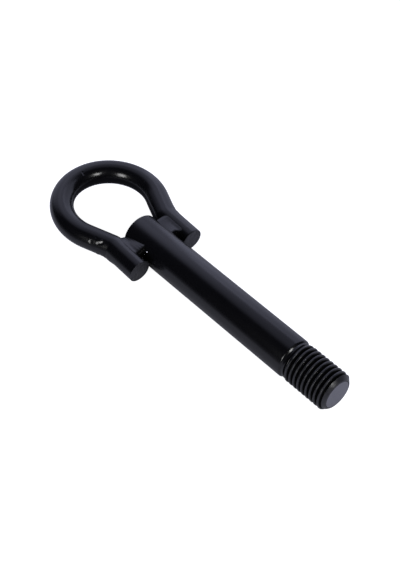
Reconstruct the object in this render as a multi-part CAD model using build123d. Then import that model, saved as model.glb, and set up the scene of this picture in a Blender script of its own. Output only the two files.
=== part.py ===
"""Screw-in tow eye: a bent round bar welded beside a turned shank with a rolled M20 thread.

The shank runs along +X from its eye end and lies on its side, which is how the part rests. The eye is drawn
level and is then tipped a little, as it was welded on. All pieces are last moved so that the origin is on the
shank's axis, where the full thread begins.
"""
from build123d import *
from build123d.topology import SkipClean

import os
from math import atan, ceil, cos, degrees, radians, sin, sqrt, tan

# Shank
SHANK_DIAMETER = 20.0
SHANK_LENGTH = 107.6
SHANK_END_CHAMFER = 0.6
SHOULDER_BEVEL = 0.9
NECK_DIAMETER = 18.4
NECK_LENGTH = 1.8

# Thread, M20 x 2.5, right hand
THREAD_DIAMETER = 19.8
THREAD_PITCH = 2.5
THREAD_LENGTH = 25.2
THREAD_LEAD_IN = 2.1
THREAD_START_ANGLE = 182.0
TIP_CHAMFER = 2.2
FIRST_TURN_DEPTH = 0.05
CREST_SECTORS = 12
PIECES_PER_TURN = 4

# Eye, bent from one round bar
BAR_DIAMETER = 12.0
EYE_INNER_DIAMETER = 37.0
NECK_ANGLE = 22.5
BEND_INSIDE_RADIUS = 0.6
CORNER_OVERLAP = 0.8
LEG_OVERLAP = 20.5
LEG_GAP = 0.9
LEG_END_CHAMFER = 0.4
EYE_TILT = 4.0
TILT_PIVOT = 4.5

# Weld between each leg and the shank
WELD_START = 1.0
WELD_LENGTH = 13.5
WELD_TOE_ANGLE = 53.0
WELD_HOLLOW = 0.5
WELD_END_BULGE = 1.2

# Proportions of a metric thread, per unit of pitch
GROOVE_DEPTH_SHARE = 0.58
GROOVE_ROOT_SHARE = 0.2
GROOVE_REACH_SHARE = 0.1
FLANK_ANGLE = 30.0

shank_radius = SHANK_DIAMETER / 2
bar_radius = BAR_DIAMETER / 2
thread_radius = THREAD_DIAMETER / 2
neck_radius = NECK_DIAMETER / 2
leg_offset = shank_radius + LEG_GAP + bar_radius
neck_start = SHANK_LENGTH + SHOULDER_BEVEL
thread_start = neck_start + NECK_LENGTH
crest_start = thread_start + THREAD_LEAD_IN
tip = thread_start + THREAD_LENGTH
crest_end = tip - TIP_CHAMFER
groove_depth = GROOVE_DEPTH_SHARE * THREAD_PITCH
root_radius = thread_radius - groove_depth
eye_radius = EYE_INNER_DIAMETER / 2 + bar_radius
tangent_y = eye_radius * cos(radians(NECK_ANGLE))
tangent_x = CORNER_OVERLAP - (tangent_y - leg_offset) / tan(radians(NECK_ANGLE))
eye_centre = tangent_x - eye_radius * sin(radians(NECK_ANGLE))


def turned(points):
    """Solid of revolution about +Z from points given as (height along the axis, radius)."""
    outline = [(radius, height) for height, radius in points]
    return revolve(Plane.XZ * make_face(Polyline(*outline, close=True)), axis=Axis.Z)


def plain_shank():
    """Smooth bar with its chamfered eye end, bevelled shoulder and the short neck before the thread."""
    return turned([
        (0, 0),
        (0, shank_radius - SHANK_END_CHAMFER),
        (SHANK_END_CHAMFER, shank_radius),
        (SHANK_LENGTH, shank_radius),
        (neck_start, neck_radius),
        (thread_start, neck_radius),
        (thread_start, 0),
    ])


def thread_blank():
    """Rod that the thread is formed on, in equal sectors, so that each turn's crest is a row of short lands."""
    outline = Polyline(
        (0, thread_start),
        (neck_radius, thread_start),
        (thread_radius, crest_start),
        (thread_radius, crest_end),
        (thread_radius - TIP_CHAMFER, tip),
        (0, tip),
        close=True,
    )
    turn = 360 / CREST_SECTORS
    sector = revolve(Plane.XZ * make_face(outline), axis=Axis.Z, revolution_arc=turn)
    sectors = [Rot(0, 0, turn * n) * sector for n in range(CREST_SECTORS)]
    with SkipClean():
        return sectors[0].fuse(*sectors[1:])


def groove_piece(floor, cone_angle=0.0):
    """Short run of the thread's helical V groove, whose floor starts at a radius and may sink along a cone."""
    half_floor = GROOVE_ROOT_SHARE * THREAD_PITCH / 2
    height = groove_depth + GROOVE_REACH_SHARE * THREAD_PITCH
    half_top = half_floor + height * tan(radians(FLANK_ANGLE))
    section = Plane.XZ * make_face(Polyline(
        (floor, -half_floor),
        (floor + height, -half_top),
        (floor + height, half_top),
        (floor, half_floor),
        close=True,
    ))
    helix = Helix(THREAD_PITCH, THREAD_PITCH / PIECES_PER_TURN, floor, cone_angle=cone_angle)
    return sweep(section, path=helix, is_frenet=True)


def thread_groove():
    """The whole groove in short runs: a first turn that sinks in from the crest, then full turns to past the tip."""
    sink = groove_depth - FIRST_TURN_DEPTH
    sink_angle = -degrees(atan(sink / THREAD_PITCH))
    full = groove_piece(root_radius)
    turns = ceil(THREAD_LENGTH / THREAD_PITCH) + 1
    pieces = []
    for n in range(turns * PIECES_PER_TURN):
        share = n / PIECES_PER_TURN
        piece = groove_piece(root_radius + sink * (1 - share), sink_angle) if share < 1 else full
        turned_on = Rot(0, 0, THREAD_START_ANGLE + 360 * share)
        pieces.append(Pos(0, 0, thread_start + THREAD_PITCH * share) * turned_on * piece)
    return pieces


def make_shank():
    """Shank with its thread, laid along +X."""
    blank = thread_blank()
    with SkipClean():
        shank = plain_shank() + (blank - thread_groove())
    return Rot(0, 90, 0) * shank


def eye_path():
    """Centreline of the bar: leg, outward bend, straight neck, round eye, and the same back."""
    side = FilletPolyline(
        (LEG_OVERLAP, leg_offset),
        (CORNER_OVERLAP, leg_offset),
        (tangent_x, tangent_y),
        radius=BEND_INSIDE_RADIUS + bar_radius,
    )
    loop = ThreePointArc((tangent_x, tangent_y), (eye_centre - eye_radius, 0), (tangent_x, -tangent_y))
    return Wire(side.edges() + loop.edges() + side.mirror(Plane.XZ).edges())


def tipped(shape):
    """Turn a shape with the eye, about a line across the shank."""
    return Pos(TILT_PIVOT, 0, 0) * Rot(0, EYE_TILT, 0) * Pos(-TILT_PIVOT, 0, 0) * shape


def make_eye():
    """Bent bar with its sheared leg ends."""
    path = eye_path()
    section = Plane(origin=(LEG_OVERLAP, leg_offset, 0), z_dir=(-1, 0, 0)) * Circle(bar_radius)
    bar = sweep(section, path=path)
    rims = bar.edges().filter_by(GeomType.CIRCLE).group_by(Axis.X)[-1]
    return tipped(chamfer(rims, LEG_END_CHAMFER))


def make_weld(side, shank, eye):
    """Bead that fills the valley between the shank and one leg, on both faces of the eye."""
    toe_angle = radians(WELD_TOE_ANGLE)
    toe_height = bar_radius * sin(toe_angle)
    leg_toe = leg_offset - bar_radius * cos(toe_angle)
    shank_toe = sqrt(shank_radius ** 2 - toe_height ** 2)
    middle = (shank_toe + leg_toe) / 2
    top = Polyline((0, 0), (0, toe_height), (shank_toe, toe_height))
    top += ThreePointArc((shank_toe, toe_height), (middle, toe_height - WELD_HOLLOW), (leg_toe, toe_height))
    top += Polyline((leg_toe, toe_height), (leg_offset, toe_height), (leg_offset, 0))
    half = make_face(top + Line((leg_offset, 0), (0, 0)))
    section = Plane.YZ * (half + mirror(half, Plane.XZ))
    weld_end = WELD_START + WELD_LENGTH
    bar = Pos(WELD_START - WELD_END_BULGE, 0, 0) * extrude(section, WELD_LENGTH + 2 * WELD_END_BULGE)
    plan = Polyline((weld_end, shank_toe), (weld_end, 0), (WELD_START, 0), (WELD_START, shank_toe))
    plan += ThreePointArc((WELD_START, shank_toe), (WELD_START - WELD_END_BULGE, middle), (WELD_START, leg_toe))
    plan += Polyline((WELD_START, leg_toe), (WELD_START, leg_offset), (weld_end, leg_offset), (weld_end, leg_toe))
    plan += ThreePointArc((weld_end, leg_toe), (weld_end + WELD_END_BULGE, middle), (weld_end, shank_toe))
    bead = bar & extrude(make_face(plan), toe_height, both=True)
    if side < 0:
        bead = mirror(bead, Plane.XZ)
    return tipped(bead) - shank - eye


shank = make_shank()
eye = make_eye()
nodes = {
    "shank": shank,
    "eye": eye,
    "left_weld": make_weld(1, shank, eye),
    "right_weld": make_weld(-1, shank, eye),
}

os.makedirs("parts", exist_ok=True)
for name, shape in nodes.items():
    export_step(Pos(-crest_start, 0, 0) * shape, f"parts/{name}.step")
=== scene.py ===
"""Tow eye: a round bar bent into a loop, welded beside a threaded shank, all painted black.

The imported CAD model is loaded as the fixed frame. The four pieces are modelled over
its nodes with Blender's own modelling tools, painted, and set in a white studio.
"""

import math

import bmesh
import bpy
from bpy.props import FloatProperty, FloatVectorProperty, IntProperty, PointerProperty
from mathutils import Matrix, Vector


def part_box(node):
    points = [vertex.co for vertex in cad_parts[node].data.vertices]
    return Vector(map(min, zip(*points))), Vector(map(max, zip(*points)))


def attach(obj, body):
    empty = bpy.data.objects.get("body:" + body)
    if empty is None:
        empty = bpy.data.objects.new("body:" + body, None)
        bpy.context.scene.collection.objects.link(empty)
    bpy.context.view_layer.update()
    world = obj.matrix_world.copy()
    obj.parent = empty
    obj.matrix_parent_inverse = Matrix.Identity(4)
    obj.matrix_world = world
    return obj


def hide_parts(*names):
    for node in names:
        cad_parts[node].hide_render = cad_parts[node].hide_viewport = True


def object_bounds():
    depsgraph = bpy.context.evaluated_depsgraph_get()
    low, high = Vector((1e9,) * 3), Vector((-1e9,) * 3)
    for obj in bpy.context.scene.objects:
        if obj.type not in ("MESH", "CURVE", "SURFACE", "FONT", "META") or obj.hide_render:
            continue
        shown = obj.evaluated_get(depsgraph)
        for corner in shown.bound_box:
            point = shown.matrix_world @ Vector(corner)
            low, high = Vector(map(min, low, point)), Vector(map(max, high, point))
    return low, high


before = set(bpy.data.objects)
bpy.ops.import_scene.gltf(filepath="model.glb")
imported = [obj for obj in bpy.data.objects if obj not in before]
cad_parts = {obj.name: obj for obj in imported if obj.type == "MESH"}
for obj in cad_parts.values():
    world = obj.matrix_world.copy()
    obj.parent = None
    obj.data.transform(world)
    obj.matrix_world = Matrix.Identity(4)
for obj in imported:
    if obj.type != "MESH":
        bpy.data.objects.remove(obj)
CAD_LOW, CAD_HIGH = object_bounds()
SHANK_LOW, SHANK_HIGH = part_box("shank")

bl_info = {
    "name": "Tow Eye",
    "version": (1, 0, 0),
    "blender": (4, 5, 0),
    "location": "View3D > Sidebar > Tow Eye",
    "description": "Models and paints a welded, screw-in tow eye over its CAD frame",
    "category": "Mesh",
}

MM = 0.001
EYE_END = SHANK_LOW.x  # the shank's end inside the eye; lengths along it start here

# Shank, in millimetres.
END_CHAMFER = 0.6
NECK_AT = 2.7  # from the shoulder to the end of the neck
LEAD_IN = 2.1  # from the neck's end to the first full crest
SHOULDER_CURVE = ((0.35, 0), (0.65, 0.07), (0.95, 0.28), (1.50, 0.80))  # along, and in from the plain shank
TIP_EDGE = 0.35
TIP_FACE = (6.9, 7.3)  # radii between which the tip face's light colour, thin paint with a painted reflection, fades out
GROOVE_TURNS, GROOVE_STEPS = 11, 90

# Half the outline of the thread's groove, in millimetres.
GROOVE_EDGE = ((0.03, 0.12), (0.20, 0.005), (0.31, -0.05), (0.41, -0.17))  # from its edge, out from the crest
GROOVE_ROOT = ((-0.32, 0.25), (-0.20, 0.07), (-0.07, 0))  # from its middle, out from the root

# Bent bar: steps drawn out or turned along each run of the bar.
BAR_POINTS, LEG_STEPS, BEND_STEPS, STRAIGHT_STEPS, LOOP_STEPS = 64, 22, 8, 16, 108
BAR_EDGE, BAR_INSET = 0.28, 0.5  # rounding of the cut ends, and the ring inside it, in millimetres

# Where the bar gets finer faces: middle in millimetres from the shank's eye end, and reach.
FINE_SPOTS = (((-4.30, -24, 4.3), 5.5), ((-44.20, 0, 9), 2.6), ((-1.60, -23.5, -2.6), 3.4))

# Marks on the bar: place in millimetres from the shank's eye end, way pushed, depth and reach.
MARKS = (
    # round dent, with a flat and a small nick beside it
    ((-6.25, -25.40, 3.95), (-0.362, 0.788, -0.497), 0.14, 1.5),
    ((-4.70, -25.33, 2.77), (-0.383, 0.868, -0.316), 0.08, 2.2),
    ((-5.73, -22.85, 6.01), (-0.236, 0.421, -0.876), 0.16, 0.7),
    # long dent, deeper towards the bend
    ((-3.04, -23.76, 4.18), (-0.346, 0.736, -0.581), 0.09, 1.2),
    ((-2.33, -23.21, 4.43), (-0.337, 0.708, -0.621), 0.11, 1.2),
    ((-1.66, -22.62, 4.70), (-0.316, 0.645, -0.695), 0.13, 1.2),
    ((-1.09, -22.08, 4.93), (-0.305, 0.611, -0.730), 0.14, 1.2),
    # lip raised along its upper side
    ((-4.03, -23.31, 5.13), (0.305, -0.611, 0.730), 0.05, 0.8),
    ((-3.40, -22.75, 5.31), (0.293, -0.576, 0.763), 0.07, 0.8),
    ((-2.79, -22.19, 5.48), (0.266, -0.501, 0.823), 0.09, 0.8),
    ((-2.15, -21.64, 5.61), (0.251, -0.462, 0.851), 0.10, 0.8),
    # nick at the top of the loop
    ((-44.55, 0.10, 9.15), (-0.384, 0.0, -0.923), 0.30, 0.8),
    ((-43.60, -0.15, 8.65), (-0.559, 0.0, -0.829), 0.30, 0.8),
    # crease in the near bend, between two swellings
    ((-3.00, -24.20, -2.40), (0.325, -0.851, -0.412), 0.25, 1.4),
    ((2.30, -22.00, -3.10), (0.0, -0.845, -0.536), 0.50, 5.5),
    ((-0.50, -22.90, -2.90), (-0.3, 0.8, 0.52), 0.28, 1.3),
    # swelling in the far bend
    ((2.00, 22.00, 3.30), (0.0, 0.845, 0.536), 0.30, 5.0),
)

# Weld beads, in millimetres. Distances are from the shank's axis.
RIGHT_BEAD = ((0.6, 15.2), 14, 0)  # its ends along the shank, climb in degrees, slant of the far end
LEFT_BEAD = ((1.9, 15.6), 3, 1.9)
BEAD_MIDDLE, BEAD_WIDTH, BEAD_CELLS = 11.05, 7.4, 12
BEAD_FACE = 3  # points above this height belong to a bead's upper face
TOE_RISES = ((13.52, 0.08), (14.13, 0.2), (14.75, 0.3))  # distance, rise
RIPPLE_REACH, RIPPLE_SHIFT = 3.2, 0.2  # to each side of the bead's middle, and along it
# The upper face climbs less towards the leg: from a distance, to a distance, share of the climb.
CLIMB_SHARES = ((0, 9.7, 1.0), (9.7, 10.7, 0.7), (10.7, 11.8, 0.4), (11.8, 12.8, 0.15))
END_HEIGHTS = ((0, 0.8), (1, 0.96), (BEAD_CELLS - 1, 0.95), (BEAD_CELLS, 0.7))  # row, share of the height
SLANT_SHARES = ((11.3, 0.25), (11.9, 0.35), (12.6, 0.25), (13.2, 0.15))  # distance, share added beyond it
SPATTER = (((16.7, -9.1, 4.2), 0.28), ((15.3, -9.8, 2.2), 0.2))  # place from the shank's eye end, and size
DROP_STRETCH = (1.3, 1, 0.9)

# Paint. Painted shade, a dull near-black, hides the gloss in gaps and grooves.
PAINT_IOR = 1.5
PAINTED_SHADE = {"Base Color": (0.0008, 0.0008, 0.0008, 1), "Roughness": 0.7, "Specular IOR Level": 0.03}
GAP_SHADE_SHARE, GROOVE_SHADE_SHARE, BEAD_END_SHADE_SHARE = 0.8, 0.95, 0.98

# Studio. A lamp's place is its turn and lift in degrees, as seen from the part, and its distance in metres.
STUDIO_MIDDLE = (41, 0, 0)  # millimetres from the shank's eye end
SOFTBOX_AT, SOFTBOX_SIZE = (103, 22, 0.9), (0.84, 1.0)
SMALL_LAMP_AT, SMALL_LAMP_SIZE = (-70, 21, 0.8), (0.25, 0.34)
FRONT_LAMP_AT, FRONT_LAMP_SIZE = (1, 30, 0.9), (0.2, 0.25)
WALLS = ((158, 21, 0.66, 0.58), (145, 62, 0.82, 0.34))  # turn, lift, nearness where it begins, brightness
WALL_FULL = 0.985
DARK_ROOM, SOFT_ROOM = 0.008, 0.55  # brightness seen in the paint, and brightness that lights it
WHITE = (1, 1, 1)
# Floor brightness seen by the camera, raised where the painted shade lies so the floor still looks white.
FLOOR_LIT, FLOOR_LIT_IN_SHADE = (0.9, 0.9, 0.9, 1), (0.98, 0.98, 0.98, 1)
# Painted shade on the floor in front and under the loop, seen in the paint's reflections: where it fades
# along Y and round the loop, in millimetres.
SHADE_FRONT, SHADE_LOOP, SHADE_MIDDLE, SHADE_SHARE = (-95, -45), (20, 31), (-22, 0, 0), 0.78


# ------------------------------------------------------------------ sizes and colours


class ShankSizes(bpy.types.PropertyGroup):
    """Sizes of the turned and threaded shank."""

    diameter: FloatProperty(
        name="Diameter", description="Across the plain shank", default=20 * MM, unit="LENGTH"
    )
    length: FloatProperty(
        name="Plain length", description="From the eye end to the shoulder", default=107.6 * MM, unit="LENGTH"
    )
    neck: FloatProperty(
        name="Neck diameter",
        description="Across the relief behind the thread",
        default=18.4 * MM,
        unit="LENGTH",
    )
    thread: FloatProperty(
        name="Thread diameter", description="Across the thread's crests", default=19.8 * MM, unit="LENGTH"
    )
    pitch: FloatProperty(
        name="Pitch", description="From one crest to the next", default=2.5 * MM, unit="LENGTH"
    )
    depth: FloatProperty(
        name="Thread depth", description="From crest to root", default=1.38 * MM, unit="LENGTH"
    )
    phase: FloatProperty(
        name="Groove start",
        description="Middle of the first groove at the shank's +Y side, from the eye end",
        default=109.985 * MM,
        unit="LENGTH",
    )
    tip_chamfer: FloatProperty(
        name="Tip chamfer", description="Length of the chamfer at the tip", default=2.2 * MM, unit="LENGTH"
    )
    facets: IntProperty(name="Facets", description="Sides round the shank", default=120, min=24, max=240)


class EyeSizes(bpy.types.PropertyGroup):
    """Sizes of the bent bar."""

    bar: FloatProperty(name="Bar diameter", description="Across the bar", default=12 * MM, unit="LENGTH")
    loop_radius: FloatProperty(
        name="Loop radius", description="To the middle of the bar", default=24.5 * MM, unit="LENGTH"
    )
    loop_centre: FloatProperty(
        name="Loop centre", description="Beyond the shank's eye end", default=-22.43 * MM, unit="LENGTH"
    )
    leg_offset: FloatProperty(
        name="Leg offset", description="From the shank's axis to a leg's", default=16.9 * MM, unit="LENGTH"
    )
    leg_end: FloatProperty(
        name="Leg overlap",
        description="How far the legs run beside the shank",
        default=20.5 * MM,
        unit="LENGTH",
    )
    bend_start: FloatProperty(
        name="Bend start", description="Where the legs begin to spread", default=2.113 * MM, unit="LENGTH"
    )
    bend_radius: FloatProperty(
        name="Bend radius",
        description="Of the spread, to the middle of the bar",
        default=6.6 * MM,
        unit="LENGTH",
    )
    spread: FloatProperty(
        name="Spread", description="Turn at each bend", default=math.radians(22.5), subtype="ANGLE"
    )
    straight: FloatProperty(
        name="Straight run", description="Between a bend and the loop", default=13.673 * MM, unit="LENGTH"
    )
    tilt: FloatProperty(
        name="Tilt",
        description="How far the eye leans up from the shank",
        default=math.radians(4),
        subtype="ANGLE",
    )
    tilt_at: FloatProperty(
        name="Tilt point",
        description="Where the leaning eye crosses the shank's axis",
        default=4.5 * MM,
        unit="LENGTH",
    )


class BeadSizes(bpy.types.PropertyGroup):
    """Sizes of the two weld beads."""

    height: FloatProperty(
        name="Height",
        description="Of a bead at its toes, from top to bottom",
        default=10.5 * MM,
        unit="LENGTH",
    )
    ripple: FloatProperty(
        name="Ripple", description="Height of the bead's ripples", default=0.03 * MM, unit="LENGTH"
    )


class Finish(bpy.types.PropertyGroup):
    """Colours and gloss."""

    paint: FloatVectorProperty(
        name="Paint", description="Black paint", default=(0.0016, 0.0016, 0.002),
        subtype="COLOR", min=0, max=1,
    )
    worn: FloatVectorProperty(
        name="Worn paint", description="Paint rubbed thin on edges and crests",
        default=(0.016, 0.016, 0.0175), subtype="COLOR", min=0, max=1,
    )
    end: FloatVectorProperty(
        name="Cut ends", description="Thin paint on the sheared bar ends", default=(0.015, 0.015, 0.0175),
        subtype="COLOR", min=0, max=1,
    )
    # Light tip colour: thin paint, with a painted reflection of the bright floor in it.
    tip: FloatVectorProperty(
        name="Tip", description="Thin paint on the shank's faced tip", default=(0.095, 0.095, 0.11),
        subtype="COLOR", min=0, max=1,
    )
    gloss: FloatProperty(
        name="Roughness", description="Of the paint", default=0.22, min=0, max=1, subtype="FACTOR"
    )


class Studio(bpy.types.PropertyGroup):
    """Camera and lamps."""

    camera: FloatVectorProperty(
        name="Camera", description="Where the camera stands", default=(0.220098, -0.279847, 0.412185),
        subtype="TRANSLATION", unit="LENGTH",
    )
    camera_turn: FloatVectorProperty(
        name="Camera turn", description="Which way the camera looks",
        default=(0.7684059, -0.0370594, 0.8367813), subtype="EULER",
    )
    lens: FloatProperty(name="Lens", description="Focal length in millimetres", default=76.057)
    softbox: FloatProperty(
        name="Softbox", description="Brightness of the large soft lamp", default=0.65, min=0
    )
    spark: FloatProperty(name="Small lamp", description="Brightness of the small lamp", default=9.5, min=0)
    front: FloatProperty(name="Front lamp", description="Brightness of the front lamp", default=14.0, min=0)
    cool: FloatVectorProperty(
        name="Cool light", description="Tint of the soft light", default=(0.95, 0.98, 1.31),
        subtype="COLOR", min=0,
    )
    floor: FloatVectorProperty(
        name="Floor", description="Floor colour", default=(0.52, 0.52, 0.52), subtype="COLOR", min=0, max=1
    )


class TowEye(bpy.types.PropertyGroup):
    """All settings of the tow eye."""

    shank: PointerProperty(type=ShankSizes, name="Shank", description="Sizes of the shank")
    eye: PointerProperty(type=EyeSizes, name="Eye", description="Sizes of the bent bar")
    bead: PointerProperty(type=BeadSizes, name="Beads", description="Sizes of the weld beads")
    finish: PointerProperty(type=Finish, name="Finish", description="Colours and gloss")
    studio: PointerProperty(type=Studio, name="Studio", description="Camera and lamps")


# ------------------------------------------------------------------ modelling helpers


def clear_hand():
    """Leave edit mode and let go of everything."""
    if bpy.context.mode != "OBJECT":
        bpy.ops.object.mode_set(mode="OBJECT")
    bpy.ops.object.select_all(action="DESELECT")


def take(piece):
    """Hold one piece and nothing else."""
    clear_hand()
    piece.select_set(True)
    bpy.context.view_layer.objects.active = piece


def open_piece(name):
    """Name the primitive just added, put its place in its mesh and open it for shaping."""
    piece = bpy.context.object
    piece.name = piece.data.name = name
    bpy.ops.object.transform_apply(location=True, rotation=True, scale=True)
    bpy.ops.object.mode_set(mode="EDIT")
    return piece


def add_disc(name, radius, place, points):
    """A filled ring that faces along the shank, ready to be drawn out."""
    clear_hand()
    bpy.ops.mesh.primitive_circle_add(
        vertices=points, radius=radius, fill_type="NGON", location=place, rotation=(0, math.pi / 2, 0)
    )
    return open_piece(name)


def pick(piece, kind, test):
    """Select the points, edges or faces that pass a test."""
    bpy.ops.mesh.select_mode(type=kind)
    bpy.ops.mesh.select_all(action="DESELECT")
    cage = bmesh.from_edit_mesh(piece.data)
    parts = {"VERT": cage.verts, "EDGE": cage.edges, "FACE": cage.faces}[kind]
    for part in [part for part in parts if test(part)]:
        part.select_set(True)
    cage.select_flush_mode()
    bmesh.update_edit_mesh(piece.data)


def pick_nearest(piece, place):
    """Select the one point nearest to a place."""
    cage = bmesh.from_edit_mesh(piece.data)
    nearest = min(cage.verts, key=lambda point: (point.co - place).length_squared).index
    pick(piece, "VERT", lambda point: point.index == nearest)


def draw_out(step):
    """Extrude what is selected by a step."""
    bpy.ops.mesh.extrude_region_move(TRANSFORM_OT_translate={"value": step})


def turn_profile(name, stations, points):
    """A solid turned about the shank's axis, through places and radii along it."""
    piece = add_disc(name, stations[0][1], (stations[0][0], 0, 0), points)
    bpy.ops.mesh.select_all(action="SELECT")
    for (last, old), (place, radius) in zip(stations, stations[1:]):
        draw_out((place - last, 0, 0))
        bpy.ops.transform.resize(value=(1, radius / old, radius / old), center_override=(place, 0, 0))
    return piece


def push(piece, place, step, reach):
    """Press the surface in, or pull it out, round the point nearest to a place."""
    pick_nearest(piece, place)
    bpy.ops.transform.translate(
        value=step, use_proportional_edit=True, proportional_edit_falloff="SMOOTH", proportional_size=reach
    )


def bevel_ring(piece, place, width, rounds, beyond=0):
    """Round the ring of edges at a place along the shank, beyond a radius."""

    def on_ring(edge):
        return all(abs(end.co.x - place) < 0.02 * MM and end.co.yz.length > beyond for end in edge.verts)

    pick(piece, "EDGE", on_ring)
    bpy.ops.mesh.bevel(offset=width, segments=rounds, affect="EDGES", profile=0.5)


def close_up():
    """Merge doubles and turn every face outwards."""
    bpy.ops.mesh.select_all(action="SELECT")
    bpy.ops.mesh.remove_doubles(threshold=0.0005 * MM)
    bpy.ops.mesh.normals_make_consistent(inside=False)


def combine(piece, tool, way):
    """Cut a piece with a tool, or add the tool to it, and remove the tool."""
    take(piece)
    step = piece.modifiers.new(way, "BOOLEAN")
    step.operation, step.object, step.solver = way, tool, "EXACT"
    bpy.ops.object.modifier_apply(modifier=step.name)
    take(tool)
    bpy.ops.object.delete()
    take(piece)


def finish_piece(piece, node, smooth):
    """Smooth a piece below an angle in degrees, and let it stand for its CAD node."""
    take(piece)
    bpy.ops.object.shade_smooth_by_angle(angle=math.radians(smooth))
    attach(piece, "root")
    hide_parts(node)


def from_eye_end(place):
    """A place given in millimetres from the shank's end inside the eye."""
    return Vector(place) * MM + Vector((EYE_END, 0, 0))


def tilt_with_eye(sizes):
    """Lean what is selected up with the eye. With no window, rotate turns the other way round."""
    bpy.ops.transform.rotate(
        value=-sizes.tilt, orient_axis="Y", center_override=(EYE_END + sizes.tilt_at, 0, 0)
    )


def add_drop(place, size, stretch):
    """A small round drop, stretched along each axis, to be joined to a piece."""
    clear_hand()
    bpy.ops.mesh.primitive_uv_sphere_add(segments=20, ring_count=12, radius=size, location=place)
    drop = open_piece("drop")
    bpy.ops.mesh.select_all(action="SELECT")
    bpy.ops.transform.resize(value=stretch, center_override=place)
    bpy.ops.object.mode_set(mode="OBJECT")
    return drop


def join_to(piece, others):
    """Join loose bits to the piece that carries them."""
    clear_hand()
    for other in others:
        other.select_set(True)
    piece.select_set(True)
    bpy.context.view_layer.objects.active = piece
    bpy.ops.object.join()


# ------------------------------------------------------------------ materials


class Shade:
    """One socket of a node tree, so that shader sums read as plain arithmetic."""

    def __init__(self, tree, socket=None):
        self.tree, self.socket = tree, socket

    def node(self, kind, settings=None, sockets=None, out=0):
        """Add any node: its settings first, then the values or links of its sockets."""
        made = self.tree.nodes.new(kind)
        for name, value in (settings or {}).items():
            setattr(made, name, value)
        for name, value in (sockets or {}).items():
            if isinstance(value, Shade):
                self.tree.links.new(value.socket, made.inputs[name])
            else:
                made.inputs[name].default_value = value
        return Shade(self.tree, made.outputs[out] if len(made.outputs) else None)

    def sum(self, way, first, second):
        return self.node("ShaderNodeMath", {"operation": way}, {0: first, 1: second})

    def __add__(self, other):
        return self.sum("ADD", self, other)

    def __radd__(self, other):
        return self.sum("ADD", other, self)

    def __sub__(self, other):
        return self.sum("SUBTRACT", self, other)

    def __rsub__(self, other):
        return self.sum("SUBTRACT", other, self)

    def __mul__(self, other):
        return self.sum("MULTIPLY", self, other)

    def __pow__(self, other):
        return self.sum("POWER", self, other)

    def rise(self, low, high):
        """0 below low, 1 above high, smooth between."""
        return self.node(
            "ShaderNodeMapRange",
            {"interpolation_type": "SMOOTHSTEP"},
            {"Value": self, "From Min": low, "From Max": high, "To Min": 0.0, "To Max": 1.0},
        )

    def top(self, other):
        return self.sum("MAXIMUM", self, other)

    def least(self, other):
        return self.sum("MINIMUM", self, other)

    def size(self):
        """The value without its sign."""
        return self.node("ShaderNodeMath", {"operation": "ABSOLUTE"}, {0: self})

    def other(self, out):
        """Another output of the same node."""
        return Shade(self.tree, self.socket.node.outputs[out])


def colour(value):
    return (*value[:3], 1)


def new_material(name):
    """An empty material with a shader to fill, and the piece's own coordinates."""
    material = bpy.data.materials.new(name)
    material.use_nodes = True
    tree = material.node_tree
    tree.nodes.clear()
    root = Shade(tree)
    place = root.node("ShaderNodeTexCoord", out=3)
    return material, root, place


def grain(root, place, size, detail=2.0, roughness=0.5):
    """Noise with spots of about a given size in metres, from 0 to 1."""
    return root.node(
        "ShaderNodeTexNoise",
        {"noise_dimensions": "3D"},
        {"Vector": place, "Scale": 1 / size, "Detail": detail, "Roughness": roughness},
    )


def blend_colour(root, share, first, second):
    """From one colour to another by a share."""
    return root.node(
        "ShaderNodeMix",
        {"data_type": "RGBA", "clamp_factor": True},
        {0: share, 6: first, 7: second},
        out=2,
    )


def bump(root, height, distance, strength):
    return root.node("ShaderNodeBump", None, {"Height": height, "Distance": distance, "Strength": strength})


def close_material(root, sockets, shade_share=None):
    """Put the shader and the output on, with painted shade, a dull near-black, where a share says so."""
    shader = root.node("ShaderNodeBsdfPrincipled", None, sockets)
    if shade_share is not None:
        shade_shader = root.node("ShaderNodeBsdfPrincipled", None, PAINTED_SHADE)
        shader = root.node("ShaderNodeMixShader", None, {0: shade_share, 1: shader, 2: shade_shader})
    root.node("ShaderNodeOutputMaterial", None, {"Surface": shader})


def paint_on_bar(look):
    """Black paint on rolled bar: mottled gloss, a fine orange peel and a few thin spots, with painted shade
    on the legs' inner sides beside the shank.
    """
    material, root, place = new_material("black_paint_on_bar")
    cloud = grain(root, place, 9 * MM, 3.0)
    peel = grain(root, place, 0.9 * MM, 2.0)
    speck = grain(root, place, 2.2 * MM, 4.0, 0.65).rise(0.66, 0.74)
    thin = speck * 0.3 + cloud * 0.03
    base = blend_colour(root, thin, colour(look.paint), colour(look.worn))
    rough = look.gloss - 0.05 + cloud * 0.1 + speck * 0.08
    parts = root.node("ShaderNodeSeparateXYZ", None, {"Vector": place})
    side = parts.other(1).size()
    # Painted shade: a dull black on the legs' inner sides, in the narrow gap next to the shank.
    gap_shade = (1 - side.rise(11.6 * MM, 14.0 * MM)) * parts.rise(EYE_END - 6 * MM, EYE_END + 2 * MM)
    close_material(
        root,
        {
            "Base Color": base,
            "Roughness": rough,
            "IOR": PAINT_IOR,
            "Normal": bump(root, peel + cloud * 1.5, 0.02 * MM, 0.2),
        },
        gap_shade * GAP_SHADE_SHARE,
    )
    return material


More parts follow.
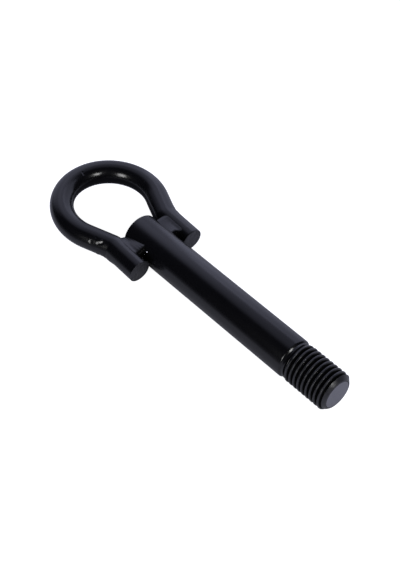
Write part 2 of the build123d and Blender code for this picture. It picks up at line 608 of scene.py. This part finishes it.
def paint_on_shank(look, sizes):
    """Black paint on the turned shank, rubbed thin on the thread's crests and on the tip, whose light face is
    also a painted reflection; painted shade lies in the grooves and beside the legs.
    """
    material, root, place = new_material("black_paint_on_shank")
    parts = root.node("ShaderNodeSeparateXYZ", None, {"Vector": place})
    along, side, height = parts, parts.other(1), parts.other(2)
    radius = (side * side + height * height) ** 0.5
    cloud = grain(root, place, 11 * MM, 3.0)
    peel = grain(root, place, 0.9 * MM, 2.0)
    scuff = grain(root, place, 1.6 * MM, 4.0, 0.65)
    on_thread = along.rise(-1.0 * MM, 0.2 * MM)
    outline = (sizes.thread / 2 - sizes.tip_chamfer + SHANK_HIGH.x - along).least(sizes.thread / 2)
    depth = outline - radius
    # The tip face is lighter: thin paint, and a painted reflection.
    tip = along.rise(SHANK_HIGH.x - 0.25 * MM, SHANK_HIGH.x - 0.1 * MM)
    tip = tip * (1 - radius.rise(TIP_FACE[0] * MM, TIP_FACE[1] * MM))
    rubbed = (1 - depth.rise(0.05 * MM, 0.5 * MM)) * on_thread * (0.45 + scuff.rise(0.3, 0.7) * 0.55)
    base = blend_colour(root, rubbed + cloud * 0.03, colour(look.paint), colour(look.worn))
    base = blend_colour(root, tip * (0.7 + scuff * 0.6), base, colour(look.tip))
    # Painted shade: a dull black deep in the thread's grooves and on the flanks beside the legs.
    groove_shade = depth.rise(0.2 * MM, 0.75 * MM) * on_thread * (1 - tip)
    gap_shade = side.size().rise(8.4 * MM, 9.5 * MM) * (1 - along.rise(EYE_END + 19 * MM, EYE_END + 24 * MM))
    rough = look.gloss - 0.05 + cloud * 0.1 + rubbed * 0.14 + tip * 0.12
    close_material(
        root,
        {
            "Base Color": base,
            "Roughness": rough,
            "IOR": PAINT_IOR,
            "Normal": bump(root, peel + cloud * 1.5 + scuff * on_thread, 0.02 * MM, 0.2),
        },
        (groove_shade * GROOVE_SHADE_SHARE).top(gap_shade * GAP_SHADE_SHARE),
    )
    return material


def paint_on_weld(look):
    """Black paint over a weld bead: smoother and a little glossier, over small lumps, with painted shade at
    its far end, low down and where it faces the tip.
    """
    material, root, place = new_material("black_paint_on_weld")
    lump = grain(root, place, 2.4 * MM, 3.0)
    peel = grain(root, place, 0.7 * MM, 2.0)
    base = blend_colour(root, 0.15 + lump * 0.4, colour(look.paint), colour(look.worn))
    parts = root.node("ShaderNodeSeparateXYZ", None, {"Vector": place})
    facing = root.node("ShaderNodeSeparateXYZ", None, {"Vector": root.node("ShaderNodeNewGeometry", out=1)})
    # Painted shade: a dull black at the bead's far end, low down or facing the tip, in the gap by the leg.
    low = 1 - parts.other(2).rise(2.8 * MM, 4.2 * MM)
    gap_shade = parts.rise(EYE_END + 12.0 * MM, EYE_END + 13.5 * MM) * low.top(facing.rise(0.3, 0.6))
    close_material(
        root,
        {
            "Base Color": base,
            "Roughness": look.gloss - 0.04 + lump * 0.1,
            "IOR": PAINT_IOR,
            "Normal": bump(root, lump * 2.0 + peel, 0.04 * MM, 0.35),
        },
        gap_shade * BEAD_END_SHADE_SHARE,
    )
    return material


def paint_on_cut(look):
    """Thin paint on a sheared bar end, with the faint streaks the shear leaves."""
    material, root, place = new_material("black_paint_on_cut")
    drawn = root.node("ShaderNodeMapping", None, {"Vector": place, "Scale": (1.0, 1.0, 0.12)})
    streak = grain(root, drawn, 0.8 * MM, 3.0)
    patch = grain(root, place, 3 * MM, 2.0)
    thin = streak.rise(0.35, 0.65) * 0.8 + patch * 0.2
    base = blend_colour(root, thin, colour(look.paint), colour(look.end))
    close_material(
        root,
        {
            "Base Color": base,
            "Roughness": look.gloss + 0.04 + streak * 0.1,
            "IOR": PAINT_IOR,
            "Normal": bump(root, streak * 2.0 + patch * 2.0, 0.12 * MM, 1.0),
        },
    )
    return material


def give(piece, *materials):
    piece.data.materials.clear()
    for material in materials:
        piece.data.materials.append(material)


# ------------------------------------------------------------------ pieces


class MakeShank(bpy.types.Operator):
    """Turn the shank, cut its thread and paint it"""

    bl_idname = "tow_eye.make_shank"
    bl_label = "Threaded shank"

    def execute(self, context):
        sizes = context.scene.tow_eye.shank
        radius, crest, neck = sizes.diameter / 2, sizes.thread / 2, sizes.neck / 2
        shoulder = EYE_END + sizes.length
        thread_start = shoulder + NECK_AT * MM
        crest_start = thread_start + LEAD_IN * MM
        tip = SHANK_HIGH.x

        stations = [
            (EYE_END, radius - END_CHAMFER * MM),
            (EYE_END + END_CHAMFER * MM, radius),
            *((shoulder + along * MM, radius - inward * MM) for along, inward in SHOULDER_CURVE),
            (shoulder + 1.72 * MM, neck + 0.04 * MM),
            (shoulder + 2.00 * MM, neck),
            (thread_start - 0.1 * MM, neck),
            (thread_start + 0.3 * MM, neck + 0.2 * MM),
            (crest_start, crest),
            (tip - sizes.tip_chamfer, crest),
            (tip, crest - sizes.tip_chamfer),
        ]
        piece = turn_profile("threaded_shank", stations, sizes.facets)
        bpy.ops.mesh.inset(thickness=1.0 * MM)
        close_up()
        bevel_ring(piece, EYE_END, 0.25 * MM, 3)
        bevel_ring(piece, EYE_END + END_CHAMFER * MM, 0.2 * MM, 3)
        bevel_ring(piece, crest_start, 0.15 * MM, 2)
        bevel_ring(piece, tip, TIP_EDGE * MM, 3, crest - sizes.tip_chamfer - 0.1 * MM)

        combine(piece, self.groove(sizes), "DIFFERENCE")
        combine(piece, self.run_out(sizes, shoulder, thread_start), "UNION")
        bpy.ops.object.mode_set(mode="EDIT")
        close_up()
        bpy.ops.object.mode_set(mode="OBJECT")
        give(piece, paint_on_shank(context.scene.tow_eye.finish, sizes))
        finish_piece(piece, "shank", smooth=40)
        return {"FINISHED"}

    def groove(self, sizes):
        """The thread's groove as a tool: a rounded vee wound round the shank."""
        crest, depth = sizes.thread / 2, sizes.depth
        half = 0.5 * sizes.pitch
        outline = [(along * MM - half, crest + out * MM) for along, out in GROOVE_EDGE]
        outline += [(along * MM, crest - depth + out * MM) for along, out in GROOVE_ROOT]
        outline += [(-x, r) for x, r in reversed(outline)]
        start = EYE_END + sizes.phase

        clear_hand()
        bpy.ops.mesh.primitive_plane_add(size=MM, location=(start + outline[0][0], outline[0][1], 0))
        tool = open_piece("groove_tool")
        bpy.ops.mesh.select_all(action="SELECT")
        bpy.ops.mesh.merge(type="CENTER")
        bpy.ops.mesh.select_mode(type="VERT")
        bpy.ops.mesh.select_all(action="SELECT")
        for here, there in zip(outline, outline[1:] + outline[:1]):
            draw_out((there[0] - here[0], there[1] - here[1], 0))
        bpy.ops.mesh.select_all(action="SELECT")
        bpy.ops.mesh.remove_doubles(threshold=0.001 * MM)
        bpy.ops.object.mode_set(mode="OBJECT")
        take(tool)
        wind = tool.modifiers.new("wind", "SCREW")
        wind.axis, wind.angle = "X", math.tau
        wind.screw_offset = sizes.pitch
        wind.iterations = GROOVE_TURNS
        wind.steps = wind.render_steps = GROOVE_STEPS
        wind.use_merge_vertices = False
        bpy.ops.object.modifier_apply(modifier=wind.name)
        bpy.ops.object.mode_set(mode="EDIT")
        bpy.ops.mesh.select_all(action="SELECT")
        bpy.ops.mesh.fill_holes(sides=0)
        close_up()
        bpy.ops.object.mode_set(mode="OBJECT")
        return tool

    def run_out(self, sizes, shoulder, thread_start):
        """The solid that the groove climbs out over, next to the neck."""
        neck = sizes.neck / 2 - 0.04 * MM
        root = sizes.thread / 2 - sizes.depth
        stations = [
            (shoulder - 2 * MM, neck - 0.5 * MM),
            (shoulder - 1 * MM, neck),
            (thread_start - 0.9 * MM, neck),
            (thread_start + 0.8 * MM, root - 0.12 * MM),
            (thread_start + 1.8 * MM, root - 0.5 * MM),
        ]
        tool = turn_profile("run_out_tool", stations, sizes.facets - 7)
        close_up()
        bpy.ops.object.mode_set(mode="OBJECT")
        return tool


class MakeEye(bpy.types.Operator):
    """Bend the bar into the loop, round its cut ends and paint it"""

    bl_idname = "tow_eye.make_eye"
    bl_label = "Bent bar"

    def execute(self, context):
        sizes = context.scene.tow_eye.eye
        radius = sizes.bar / 2
        leg = sizes.leg_end - sizes.bend_start
        bend_at = Vector((EYE_END + sizes.bend_start, sizes.leg_offset + sizes.bend_radius, 0))
        loop_at = Vector((EYE_END + sizes.loop_centre, 0, 0))
        outward = Vector((-math.cos(sizes.spread), math.sin(sizes.spread), 0))
        inward = Vector((math.cos(sizes.spread), math.sin(sizes.spread), 0))

        end = EYE_END + sizes.leg_end
        piece = add_disc("bent_bar", radius, (end, sizes.leg_offset, 0), BAR_POINTS)
        bpy.ops.mesh.select_all(action="SELECT")
        self.run(Vector((-leg, 0, 0)), LEG_STEPS)
        self.turn(bend_at, -sizes.spread, BEND_STEPS)
        self.run(outward * sizes.straight, STRAIGHT_STEPS)
        self.turn(loop_at, math.pi + 2 * sizes.spread, LOOP_STEPS)
        self.run(inward * sizes.straight, STRAIGHT_STEPS)
        self.turn(Vector((bend_at.x, -bend_at.y, 0)), -sizes.spread, BEND_STEPS)
        self.run(Vector((leg, 0, 0)), LEG_STEPS)
        close_up()

        def on_cut(face):
            return face.normal.x > 0.99 and face.calc_center_median().x > end - 0.1 * MM

        pick(piece, "EDGE", lambda edge: all(abs(p.co.x - end) < 0.01 * MM for p in edge.verts))
        bpy.ops.mesh.bevel(offset=BAR_EDGE * MM, segments=2, affect="EDGES")
        pick(piece, "FACE", on_cut)
        bpy.ops.mesh.inset(thickness=BAR_INSET * MM)
        finish = context.scene.tow_eye.finish
        give(piece, paint_on_bar(finish), paint_on_cut(finish))
        pick(piece, "FACE", on_cut)
        piece.active_material_index = 1
        bpy.ops.object.material_slot_assign()

        bpy.ops.mesh.select_all(action="SELECT")
        tilt_with_eye(sizes)
        self.knocks(piece)
        bpy.ops.object.mode_set(mode="OBJECT")
        finish_piece(piece, "eye", smooth=32)
        low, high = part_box("eye")
        if any(abs(a - b) > 0.5 * MM for a, b in zip((*low, *high), self.box(piece))):
            raise RuntimeError(f"the bent bar left its place: {self.box(piece)} against {(*low, *high)}")
        return {"FINISHED"}

    def run(self, way, steps):
        """Draw the bar's end straight on."""
        for _ in range(steps):
            draw_out(way / steps)

    def turn(self, centre, angle, steps):
        """Bend the bar's end round a point. Spin counts its angle the other way round."""
        bpy.ops.mesh.spin(steps=steps, dupli=False, angle=-angle, center=centre, axis=(0, 0, 1))

    def knocks(self, piece):
        """Marks of bending and use. Faces with more than four sides are split at the end."""
        for middle, reach in FINE_SPOTS:
            spot = from_eye_end(middle)
            pick(piece, "FACE", lambda face: (face.calc_center_median() - spot).length < reach * MM)
            bpy.ops.mesh.subdivide(number_cuts=3)
        for place, step, depth, reach in MARKS:
            push(piece, from_eye_end(place), Vector(step) * depth * MM, reach * MM)
        pick(piece, "FACE", lambda face: len(face.verts) > 4)
        bpy.ops.mesh.quads_convert_to_tris(ngon_method="BEAUTY")

    def box(self, piece):
        """Lowest and highest corner round a piece's points."""
        points = [point.co for point in piece.data.vertices]
        low = [min(p[i] for p in points) for i in range(3)]
        return (*low, *[max(p[i] for p in points) for i in range(3)])


class MakeBeads(bpy.types.Operator):
    """Lay the two weld beads between the shank and the legs"""

    bl_idname = "tow_eye.make_beads"
    bl_label = "Weld beads"

    def execute(self, context):
        look = context.scene.tow_eye
        material = paint_on_weld(look.finish)
        right = self.bead(look, "right_bead", -1, *RIGHT_BEAD)
        left = self.bead(look, "left_bead", 1, *LEFT_BEAD)
        give(right, material)
        give(left, material)
        self.spatter(right, SPATTER)
        for piece, node in ((right, "right_weld"), (left, "left_weld")):
            finish_piece(piece, node, smooth=60)
        return {"FINISHED"}

    def bead(self, look, name, side, ends, climb, slant):
        """One bead: a block that climbs along the shank, with raised toes, ripples and low ends."""
        sizes = look.bead
        start, end = ends[0] * MM, ends[1] * MM
        middle = side * BEAD_MIDDLE * MM
        centre = Vector((EYE_END + (start + end) / 2, middle, 0))
        clear_hand()
        bpy.ops.mesh.primitive_cube_add(
            size=1, location=centre, scale=(end - start, BEAD_WIDTH * MM, sizes.height)
        )
        piece = open_piece(name)
        bpy.ops.mesh.select_all(action="SELECT")
        bpy.ops.mesh.subdivide(number_cuts=BEAD_CELLS - 1)
        for near, rise in TOE_RISES:
            for face in (1, -1):
                self.pick_face(piece, face, lambda point: abs(abs(point.co.y) - near * MM) < 0.25 * MM)
                bpy.ops.transform.translate(value=(0, 0, face * rise * MM))
        for row in range(2, BEAD_CELLS - 1, 2):
            place = EYE_END + start + (end - start) * row / BEAD_CELLS
            for face in (1, -1):
                self.pick_face(
                    piece,
                    face,
                    lambda point: abs(point.co.x - place) < 0.1 * MM
                    and abs(point.co.y - middle) < RIPPLE_REACH * MM,
                )
                bpy.ops.transform.translate(value=(RIPPLE_SHIFT * MM, 0, face * sizes.ripple))
        for near, far, share in CLIMB_SHARES:
            self.pick_face(piece, 1, lambda point: near * MM <= abs(point.co.y) < far * MM)
            bpy.ops.transform.rotate(
                value=math.radians(climb) * share,
                orient_axis="Y",
                center_override=(centre.x, middle, sizes.height / 2),
            )
        for row, share in END_HEIGHTS:
            edge = EYE_END + start + (end - start) * row / BEAD_CELLS
            pick(piece, "VERT", lambda point: abs(point.co.x - edge) < 0.5 * MM)
            bpy.ops.transform.resize(value=(1, 1, share), center_override=(edge, middle, 0))
        for near, share in SLANT_SHARES:
            pick(
                piece,
                "VERT",
                lambda point: point.co.x > EYE_END + end - 5 * MM and abs(point.co.y) > near * MM,
            )
            bpy.ops.transform.translate(value=(slant * MM * share, 0, 0))
        bpy.ops.mesh.select_all(action="SELECT")
        tilt_with_eye(look.eye)
        bpy.ops.object.mode_set(mode="OBJECT")
        take(piece)
        smooth = piece.modifiers.new("smooth", "SUBSURF")
        smooth.levels = smooth.render_levels = 2
        bpy.ops.object.modifier_apply(modifier=smooth.name)
        bpy.ops.object.mode_set(mode="EDIT")
        close_up()
        bpy.ops.object.mode_set(mode="OBJECT")
        return piece

    def pick_face(self, piece, face, test):
        """Select points of a bead's upper face (1) or lower face (-1) that pass a test."""
        pick(piece, "VERT", lambda point: point.co.z * face > BEAD_FACE * MM and test(point))

    def spatter(self, piece, drops):
        """Drops of weld that stuck beside the end of a bead."""
        join_to(piece, [add_drop(from_eye_end(place), size * MM, DROP_STRETCH) for place, size in drops])


# ------------------------------------------------------------------ studio


class MakeStudio(bpy.types.Operator):
    """Lay the floor, and set the lamps, the world and the camera"""

    bl_idname = "tow_eye.make_studio"
    bl_label = "Studio"

    def execute(self, context):
        studio = context.scene.tow_eye.studio
        self.floor(studio)
        self.world(context.scene, studio)
        self.lamp("softbox", SOFTBOX_AT, SOFTBOX_SIZE, studio.softbox, studio.cool)
        self.lamp("small_lamp", SMALL_LAMP_AT, SMALL_LAMP_SIZE, studio.spark, WHITE)
        self.lamp("front_lamp", FRONT_LAMP_AT, FRONT_LAMP_SIZE, studio.front, WHITE)
        camera = bpy.data.objects.new("camera", bpy.data.cameras.new("camera"))
        context.scene.collection.objects.link(camera)
        camera.location, camera.rotation_euler = studio.camera, studio.camera_turn
        camera.data.lens, camera.data.sensor_width = studio.lens, 36
        camera.data.clip_start, camera.data.clip_end = 0.01, 50
        context.scene.camera = camera
        context.scene.view_settings.view_transform = "Standard"
        return {"FINISHED"}

    def floor(self, studio):
        """A white floor under the part that keeps a faint shadow, with painted shade in front and under the
        loop that mostly only the paint's reflections show.
        """
        clear_hand()
        bpy.ops.mesh.primitive_plane_add(size=8, location=(0, 0, CAD_LOW.z))
        floor = open_piece("floor")
        bpy.ops.object.mode_set(mode="OBJECT")
        material = bpy.data.materials.new("white_floor")
        material.use_nodes = True
        material.node_tree.nodes.clear()
        root = Shade(material.node_tree)
        rays = root.node("ShaderNodeLightPath")
        seen = rays.top(rays.other("Is Transmission Ray"))
        place = root.node("ShaderNodeTexCoord", out=3)
        side = root.node("ShaderNodeSeparateXYZ", None, {"Vector": place}, out=1)
        # Painted shade: the floor's colour is darkened in front and under the loop.
        middle = from_eye_end(SHADE_MIDDLE)
        from_loop = root.node("ShaderNodeVectorMath", {"operation": "DISTANCE"}, {0: place, 1: middle}, out=1)
        in_front = 1 - side.rise(SHADE_FRONT[0] * MM, SHADE_FRONT[1] * MM)
        under_loop = 1 - from_loop.rise(SHADE_LOOP[0] * MM, SHADE_LOOP[1] * MM)
        floor_shade = in_front.top(under_loop) * SHADE_SHARE
        tone = blend_colour(root, floor_shade, colour(studio.floor), (0, 0, 0, 1))
        matt = root.node("ShaderNodeBsdfDiffuse", None, {"Color": tone})
        lit = blend_colour(root, floor_shade, FLOOR_LIT, FLOOR_LIT_IN_SHADE)
        glow = root.node("ShaderNodeEmission", None, {"Color": lit, "Strength": seen})
        both = root.node("ShaderNodeAddShader", None, {0: matt, 1: glow})
        root.node("ShaderNodeOutputMaterial", None, {"Surface": both})
        give(floor, material)

    def world(self, scene, studio):
        """White behind the part; seen in the paint, bright at the back and dim elsewhere."""
        world = bpy.data.worlds.new("white_studio")
        scene.world = world
        world.use_nodes = True
        world.node_tree.nodes.clear()
        root = Shade(world.node_tree)
        rays = root.node("ShaderNodeLightPath")
        glossy = rays.other("Is Glossy Ray")
        seen = rays.top(rays.other("Is Transmission Ray"))
        way = root.node("ShaderNodeTexCoord", out=0)
        mirrored = DARK_ROOM
        for turn, lift, begin, level in WALLS:
            mirrored = mirrored + self.facing(root, way, turn, lift).rise(begin, WALL_FULL) * level
        strength = seen.top(glossy * mirrored + (1 - glossy.top(seen)) * SOFT_ROOM)
        tint = blend_colour(root, seen, colour(studio.cool), colour(WHITE))
        light = root.node("ShaderNodeBackground", None, {"Color": tint, "Strength": strength})
        root.node("ShaderNodeOutputWorld", None, {"Surface": light})

    def aim(self, turn, lift):
        """The direction at a turn and a lift in degrees."""
        a, e = math.radians(turn), math.radians(lift)
        return Vector((math.cos(a) * math.cos(e), math.sin(a) * math.cos(e), math.sin(e)))

    def facing(self, root, way, turn, lift):
        """How nearly a ray points at a turn and a lift: 1 for straight at it."""
        return root.node(
            "ShaderNodeVectorMath", {"operation": "DOT_PRODUCT"}, {0: way, 1: self.aim(turn, lift)}, out=1
        )

    def lamp(self, name, place, size, level, tint):
        """A flat soft lamp of a given brightness, placed by its turn, lift and distance."""
        turn, lift, distance = place
        way = self.aim(turn, lift)
        data = bpy.data.lights.new(name, "AREA")
        data.shape, data.size, data.size_y = "RECTANGLE", size[0], size[1]
        data.energy, data.color = level * math.pi * size[0] * size[1], tint
        lamp = bpy.data.objects.new(name, data)
        bpy.context.scene.collection.objects.link(lamp)
        lamp.location = from_eye_end(STUDIO_MIDDLE) + way * distance
        lamp.rotation_euler = way.to_track_quat("Z", "Y").to_euler()
        lamp.visible_camera = False


# ------------------------------------------------------------------ add-on


class TowEyePanel(bpy.types.Panel):
    """Settings and steps of the tow eye."""

    bl_idname = "VIEW3D_PT_tow_eye"
    bl_label = "Tow Eye"
    bl_space_type = "VIEW_3D"
    bl_region_type = "UI"
    bl_category = "Tow Eye"

    def draw(self, context):
        settings = context.scene.tow_eye
        for step, group in (
            (MakeShank, settings.shank),
            (MakeEye, settings.eye),
            (MakeBeads, settings.bead),
            (MakeStudio, settings.studio),
        ):
            box = self.layout.box()
            box.operator(step.bl_idname)
            for name in group.__annotations__:
                box.prop(group, name)
        box = self.layout.box()
        for name in settings.finish.__annotations__:
            box.prop(settings.finish, name)


CLASSES = (
    ShankSizes,
    EyeSizes,
    BeadSizes,
    Finish,
    Studio,
    TowEye,
    MakeShank,
    MakeEye,
    MakeBeads,
    MakeStudio,
    TowEyePanel,
)


def register():
    for item in CLASSES:
        bpy.utils.register_class(item)
    bpy.types.Scene.tow_eye = PointerProperty(
        type=TowEye, name="Tow eye", description="All settings of the tow eye"
    )


def unregister():
    del bpy.types.Scene.tow_eye
    for item in reversed(CLASSES):
        bpy.utils.unregister_class(item)


def main():
    register()
    bpy.ops.tow_eye.make_shank()
    bpy.ops.tow_eye.make_eye()
    bpy.ops.tow_eye.make_beads()
    bpy.ops.tow_eye.make_studio()


if __name__ == "__main__":
    main()
